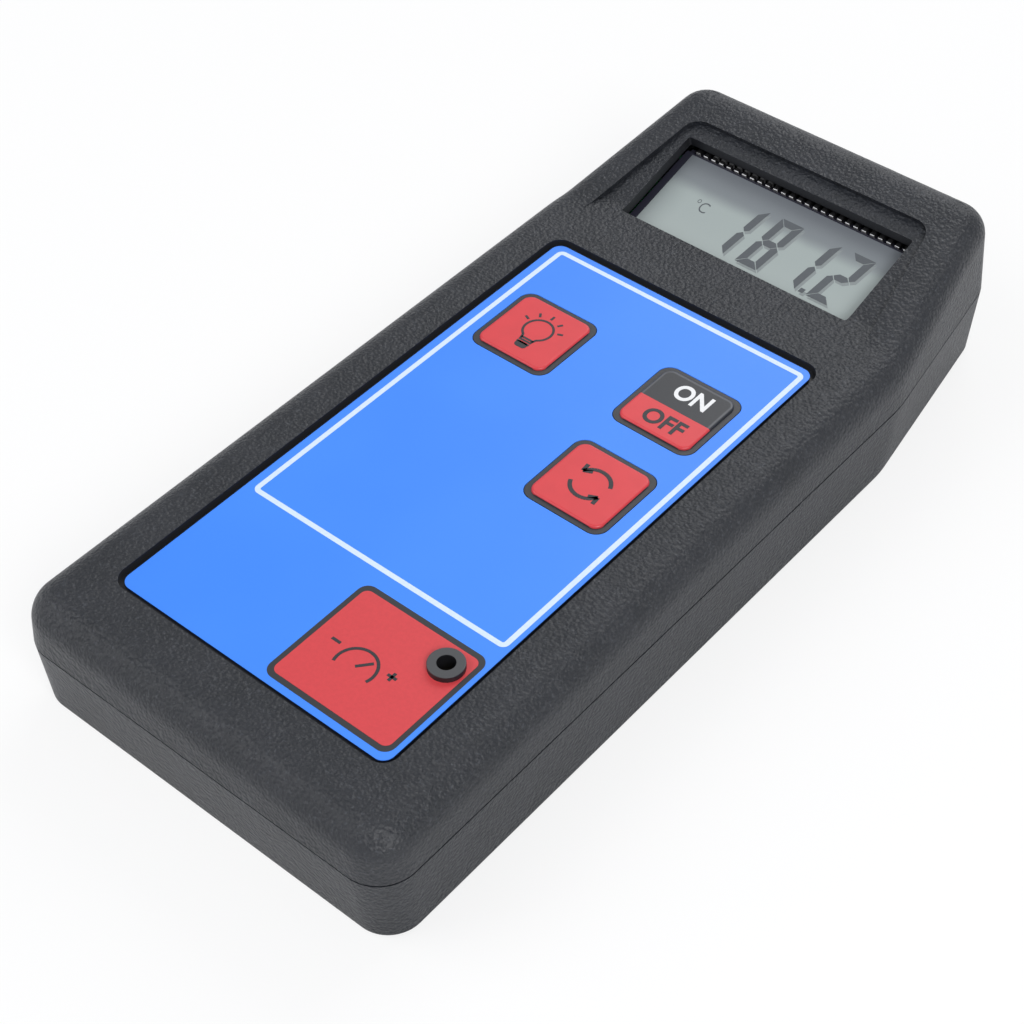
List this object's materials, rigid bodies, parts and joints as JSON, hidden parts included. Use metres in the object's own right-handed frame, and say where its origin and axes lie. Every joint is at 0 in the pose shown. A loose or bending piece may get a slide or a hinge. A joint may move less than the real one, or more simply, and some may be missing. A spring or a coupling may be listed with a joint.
{
  "type": "handheld salinity meter",
  "caption": "Handheld salinity meter with a raised display head, press keys on a recessed front panel, a battery door and a probe socket in the end.",
  "frame": {"origin": "middle of the flat back, on the back face, half way between the two ends", "axes": "+X across the case to the right of the keys, +Y from the battery end to the display head, +Z from the back to the front panel"},
  "size_m": [0.08, 0.174, 0.0321],
  "materials": {
    "case_plastic": "charcoal moulded plastic with a fine leather grain",
    "panel_blue": "blue printed panel with a pale frame line",
    "bush_black": "satin black bush",
    "light_key": "red embossed key in a dark grey frame",
    "power_key": "half red and half dark key in a dark grey frame",
    "mode_key": "red embossed key in a dark grey frame",
    "plunger": "black switch plunger",
    "switch_body": "black switch body",
    "board": "green circuit board",
    "chip": "black moulded chip package",
    "capacitor": "sleeved can",
    "crystal": "steel can",
    "lcd_glass": "clear glass plates",
    "lcd_film": "grey-green polarising film",
    "lcd_pins": "darkened clip pins",
    "backlight": "translucent light guide",
    "ribbon": "grey flat cable",
    "battery": "plain dark wrapped block with bright studs",
    "snap": "black moulded cap",
    "battery_leads": "insulated wire",
    "socket": "black moulded jack",
    "socket_nut": "plated ring nut",
    "socket_leads": "insulated wire",
    "trimmer_body": "blue trimmer housing",
    "trimmer_rotor": "slotted brass rotor",
    "screws": "zinc plated steel",
    "case_screws": "dark plated steel"
  },
  "bodies": {
    "case": {"amplifier_chip": "chip", "backlight": "backlight", "battery": "battery", "battery_leads": "battery_leads", "battery_snap": "snap", "board_screws": "screws", "bottom_shell": "case_plastic", "calibration_bush": "bush_black", "capacitors": "capacitor", "case_screws": "case_screws", "converter_chip": "chip", "crystal": "crystal", "display_board": "board", "front_panel": "panel_blue", "lcd_film": "lcd_film", "lcd_glass": "lcd_glass", "lcd_pins": "lcd_pins", "light_switch": "switch_body", "main_board": "board", "mode_switch": "switch_body", "power_switch": "switch_body", "probe_socket": "socket", "ribbon_cable": "ribbon", "socket_leads": "socket_leads", "socket_nut": "socket_nut", "top_shell": "case_plastic", "trimmer_body": "trimmer_body"},
    "light_key_pad": {"light_key": "light_key", "light_plunger": "plunger"},
    "power_key_pad": {"power_key": "power_key", "power_plunger": "plunger"},
    "mode_key_pad": {"mode_key": "mode_key", "mode_plunger": "plunger"},
    "trimmer_screw": {"trimmer_rotor": "trimmer_rotor"},
    "door": {"battery_door": "case_plastic"}
  },
  "joints": [
    {"name": "light_key_press", "type": "slide", "parent": "case", "child": "light_key_pad", "axis": [0, 0, -1], "range_m": [0, 0.00025], "stiffness_N_per_m": 3000, "springref_m": -0.0001},
    {"name": "power_key_press", "type": "slide", "parent": "case", "child": "power_key_pad", "axis": [0, 0, -1], "range_m": [0, 0.00025], "stiffness_N_per_m": 3000, "springref_m": -0.0001},
    {"name": "mode_key_press", "type": "slide", "parent": "case", "child": "mode_key_pad", "axis": [0, 0, -1], "range_m": [0, 0.00025], "stiffness_N_per_m": 3000, "springref_m": -0.0001},
    {"name": "trimmer_turn", "type": "hinge", "parent": "case", "child": "trimmer_screw", "pos_m": [0.0232, -0.0537, 0.0185], "axis": [0, 0, 1], "range_deg": [-120, 120]},
    {"name": "battery_door_swing", "type": "hinge", "parent": "case", "child": "door", "pos_m": [0, -0.0786, 0], "axis": [-1, 0, 0], "range_deg": [0, 55]}
  ]
}
